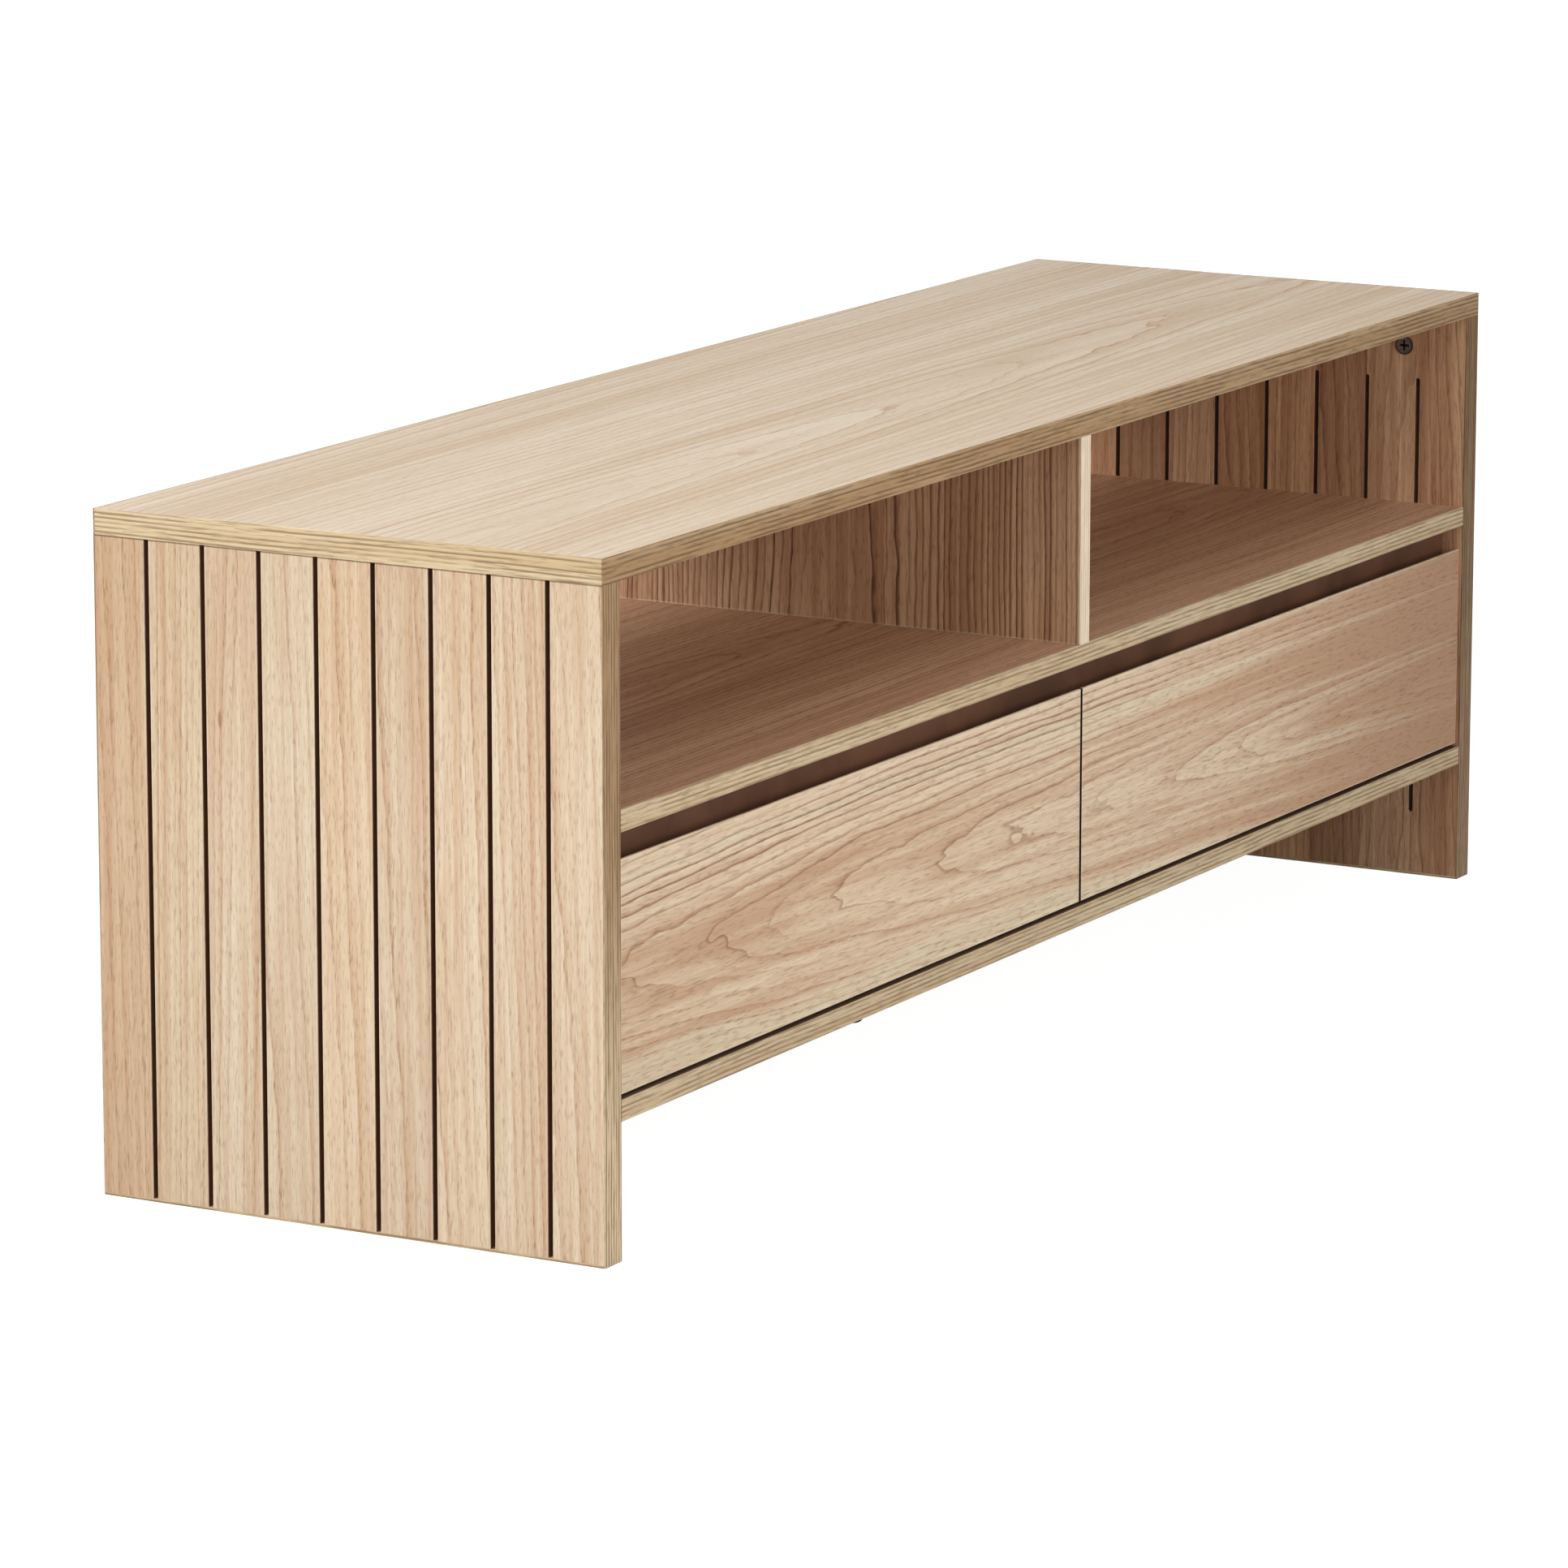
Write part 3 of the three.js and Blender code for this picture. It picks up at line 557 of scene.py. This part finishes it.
# The inner boards' oak is browner and darker than the outer faces': partly its own tone, partly painted shade
# inside the cabinet.
INNER_OAK = Wood(
    pale="dcb692", warm="b08464", dark="6e4633", lines=0.45, streaks=2.2, pores=0.55, grain=1.2
)
SHELF_OAK = replace(INNER_OAK, pale="d9b18e", warm="b48769", seed=9.9)
DIVIDER_OAK = replace(
    INNER_OAK, seed=14.2, depth=0.09, lean=0.02, ring=0.0038, lines=0.85, dark="5c3a28"
)
LEFT_KNOT = (0.0998, 0.344)

MATERIALS = {
    "top": oak("oak_top", "xyz", TOP_OAK, "top_panel"),
    "left_side": slatted_oak("oak_left_side", replace(SLAT_OAK, seed=5.0), INNER_OAK, knot=LEFT_KNOT),
    "right_side": slatted_oak("oak_right_side", replace(SLAT_OAK, seed=15.0), INNER_OAK),
    "drawer": oak(
        "oak_drawer", "xzy", DRAWER_OAK, "right_drawer_front", mirrored=True, shade=meeting_end
    ),
    "shelf": oak("oak_shelf", "xyz", SHELF_OAK, "mid_shelf"),
    "bottom": oak(
        "oak_bottom", "xyz", replace(INNER_OAK, seed=12.4), "bottom_panel", shade=under_drawers
    ),
    "divider": oak("oak_divider", "zyx", DIVIDER_OAK, "upper_divider"),
    "band_x": edge_band("band_along_x", "xzy", 1.0, "dac6a5", "ceb48f", "8f7456"),
    "band_y": edge_band("band_along_y", "yzx", 2.0, "e7d1ab", "dabf94", "97795a"),
    # A darker copy of the edge band, as painted shade on the front edges, paling to painted light from the
    # floor at the foot.
    "band_z": edge_band("band_along_z", "zxy", 3.0, "bda281", "aa8963", "72563c", foot="ead4b0"),
    # A darker copy of band_along_z: painted shade on the right side's front edge.
    "band_shade": edge_band("band_shade", "zxy", 6.0, "987e62", "896c4d", "5a412d", foot="b09374"),
    # A darker copy of the edge band: painted shade on the top's front edge.
    "band_top": edge_band("band_top", "xzy", 4.0, "c1a582", "ae8c65", "72563c"),
    # A paler copy of the edge band: painted light on the divider's edges.
    "band_divider": edge_band("band_divider", "zxy", 5.0, "fbecd5", "f3e1c4", "d2b997"),
    "rail": painted("rail_brown", "6e4a35", "553726", 0.55, 0.00005),
    "drawer_board": painted("drawer_board", "dccbb0", "d4c2a6", 0.5, 0.00004),
    "hardboard": fibreboard("hardboard", "b6926e", "8e6c4c"),
    "zinc": painted("zinc", "b4b8bc", "a4a8ac", 0.32, 0.00002, metallic=1.0),
    "bronze": cam_metal("bronze"),
    "black_steel": painted("black_steel", "0c0c0d", "111112", 0.5, 0.00004),
    "black_plastic": painted("black_plastic", "0a0a0a", "0e0e0e", 0.45, 0.00004),
}

# The material of each node that is named here.
FINISH = {
    "top_panel": "top",
    "left_side_panel": "left_side",
    "right_side_panel": "right_side",
    "mid_shelf": "shelf",
    "bottom_panel": "bottom",
    "upper_divider": "divider",
    "lower_divider": "divider",
    "front_rail": "rail",
    "back_panel": "hardboard",
    "top_front_band": "band_top",
    "top_back_band": "band_top",
    "right_side_front_band": "band_shade",
    "divider_front_band": "band_divider",
    "divider_back_band": "band_divider",
}

# The material of the others, by the first of these that is part of the node's name.
FINISH_OF_PART = {
    "drawer_front": "drawer",
    "drawer_bottom": "hardboard",
    "_wall": "drawer_board",
    "drawer_back": "drawer_board",
    "slide": "zinc",
    "cam_bolt": "zinc",
    "cam_lock": "bronze",
    "leg_foot": "black_plastic",
    "leg": "black_steel",
}


def finish_of(name):
    """The material of a CAD node. An edge band's is the one whose grain runs along it."""
    if name in FINISH:
        return FINISH[name]
    if name.endswith("_band"):
        low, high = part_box(name)
        return "band_" + "xyz"[max(range(3), key=lambda i: high[i] - low[i])]
    for part, finish in FINISH_OF_PART.items():
        if part in name:
            return finish
    raise ValueError(name)


def soften(node, width):
    """Rounds a CAD node's arrises a little."""
    node.data.attributes.remove(node.data.attributes["custom_normal"])
    weld = node.modifiers.new("weld", "WELD")
    weld.merge_threshold = WELD_DISTANCE
    bevel = node.modifiers.new("arris", "BEVEL")
    bevel.width = width
    bevel.segments = 2
    bevel.limit_method = "ANGLE"
    bevel.angle_limit = SHARP


for name, node in NODES.items():
    node.data.materials.clear()
    node.data.materials.append(MATERIALS[finish_of(name)])
    soften(node, BAND_ARRIS if name.endswith("band") else ARRIS)


# ---------------------------------------------------------------- floor, light and camera

FLOOR_HALF = 40.0
FLOOR_SEEN = (0.25, 0.25, 0.25, 1)  # what the camera sees of light and shadow on the floor, over its glow
FLOOR_BOUNCE = (0.4, 0.385, 0.36, 1)  # what the floor gives back to the cabinet
FLOOR_GLOW = 0.95  # the floor's own white near the cabinet
FAR_GLOW = 0.07  # what is added to it far away
WORLD_LIGHT = 0.16

# Each light's name, place, the point that it faces, its width and height, and its power in watts.
LIGHTS = (
    ("key", (-3.2, -0.9, 1.9), (-0.7, 0.0, 0.25), (2.4, 2.0), 20),
    ("behind_left", (-2.8, 1.2, 2.4), (-0.5, 0.0, 0.3), (2.0, 2.0), 84),
    ("overhead", (0.9, 0.5, 3.2), (0.3, 0.1, 0.4), (3.0, 2.0), 33),
    ("front", (-0.8, -3.2, 1.0), (-0.1, 0.0, 0.25), (2.4, 1.6), 62),
    ("over_front", (-0.6, -1.4, 2.8), (0.0, 0.0, 0.3), (2.0, 1.2), 16),
    ("fill", (3.0, 2.4, 0.22), (0.3, 0.0, 0.2), (2.4, 0.4), 30),
)

# The camera that was fitted to the photograph.
CAMERA_PLACE = (-5.05936, -2.74814, 1.38168)
CAMERA_FORWARD = (0.856541, 0.474067, -0.203956)
CAMERA_UP = (0.17792, 0.09972, 0.97898)
LENS = 180.2  # millimetres
SENSOR = 36.0  # millimetres


def make_floor():
    """A plain pale floor that reads as white, with a faint shadow on it."""
    mesh = bpy.data.meshes.new("floor")
    corners = [
        (-FLOOR_HALF, -FLOOR_HALF, 0),
        (FLOOR_HALF, -FLOOR_HALF, 0),
        (FLOOR_HALF, FLOOR_HALF, 0),
        (-FLOOR_HALF, FLOOR_HALF, 0),
    ]
    mesh.from_pydata(corners, [], [(0, 1, 2, 3)])
    floor = bpy.data.objects.new("floor", mesh)
    bpy.context.scene.collection.objects.link(floor)
    graph = Graph("floor_white")
    seen = graph.node("LightPath").outputs["Is Camera Ray"]
    bright = graph.node("Emission")
    x, y, z = graph.place()
    far = graph.step((x * x + y * y) ** 0.5, 0.9, 2.6)
    graph.feed(bright.inputs["Strength"], far * FAR_GLOW + FLOOR_GLOW)
    paper = graph.node("BsdfDiffuse")
    paper.inputs["Color"].default_value = FLOOR_SEEN
    both = graph.node("AddShader")
    plain = graph.node("BsdfDiffuse")
    plain.inputs["Color"].default_value = FLOOR_BOUNCE
    chosen = graph.node("MixShader")
    output = graph.node("OutputMaterial")
    link = graph.tree.links.new
    link(bright.outputs[0], both.inputs[0])
    link(paper.outputs[0], both.inputs[1])
    link(seen, chosen.inputs[0])
    link(plain.outputs[0], chosen.inputs[1])
    link(both.outputs[0], chosen.inputs[2])
    link(chosen.outputs[0], output.inputs["Surface"])
    mesh.materials.append(graph.material)


def make_world():
    """Soft light from everywhere, and plain white behind the floor's edge."""
    world = bpy.data.worlds.new("studio")
    bpy.context.scene.world = world
    world.use_nodes = True
    tree = world.node_tree
    tree.nodes.clear()
    seen = tree.nodes.new("ShaderNodeLightPath").outputs["Is Camera Ray"]
    soft = tree.nodes.new("ShaderNodeBackground")
    soft.inputs["Strength"].default_value = WORLD_LIGHT
    white = tree.nodes.new("ShaderNodeBackground")
    white.inputs["Color"].default_value = (1, 1, 1, 1)
    chosen = tree.nodes.new("ShaderNodeMixShader")
    output = tree.nodes.new("ShaderNodeOutputWorld")
    tree.links.new(seen, chosen.inputs[0])
    tree.links.new(soft.outputs[0], chosen.inputs[1])
    tree.links.new(white.outputs[0], chosen.inputs[2])
    tree.links.new(chosen.outputs[0], output.inputs[0])


def make_light(name, place, aim, size, power):
    """A rectangular area light that the camera doesn't see."""
    data = bpy.data.lights.new(name, "AREA")
    data.shape = "RECTANGLE"
    data.size, data.size_y = size
    data.energy = power
    lamp = bpy.data.objects.new(name, data)
    bpy.context.scene.collection.objects.link(lamp)
    lamp.location = place
    lamp.rotation_euler = (Vector(aim) - Vector(place)).to_track_quat("-Z", "Y").to_euler()
    lamp.visible_camera = False


def make_camera():
    """The photograph's viewpoint: a long lens, from the left end's side of the front."""
    data = bpy.data.cameras.new("camera")
    data.lens = LENS
    data.sensor_width = SENSOR
    data.clip_end = 200.0
    camera = bpy.data.objects.new("camera", data)
    bpy.context.scene.collection.objects.link(camera)
    forward = Vector(CAMERA_FORWARD).normalized()
    right = forward.cross(Vector(CAMERA_UP)).normalized()
    up = right.cross(forward)
    turned = Matrix((right, up, -forward)).transposed().to_4x4()
    camera.matrix_world = Matrix.Translation(CAMERA_PLACE) @ turned
    bpy.context.scene.camera = camera


make_floor()
make_world()
for light in LIGHTS:
    make_light(*light)
make_camera()
bpy.context.scene.view_settings.view_transform = "Standard"
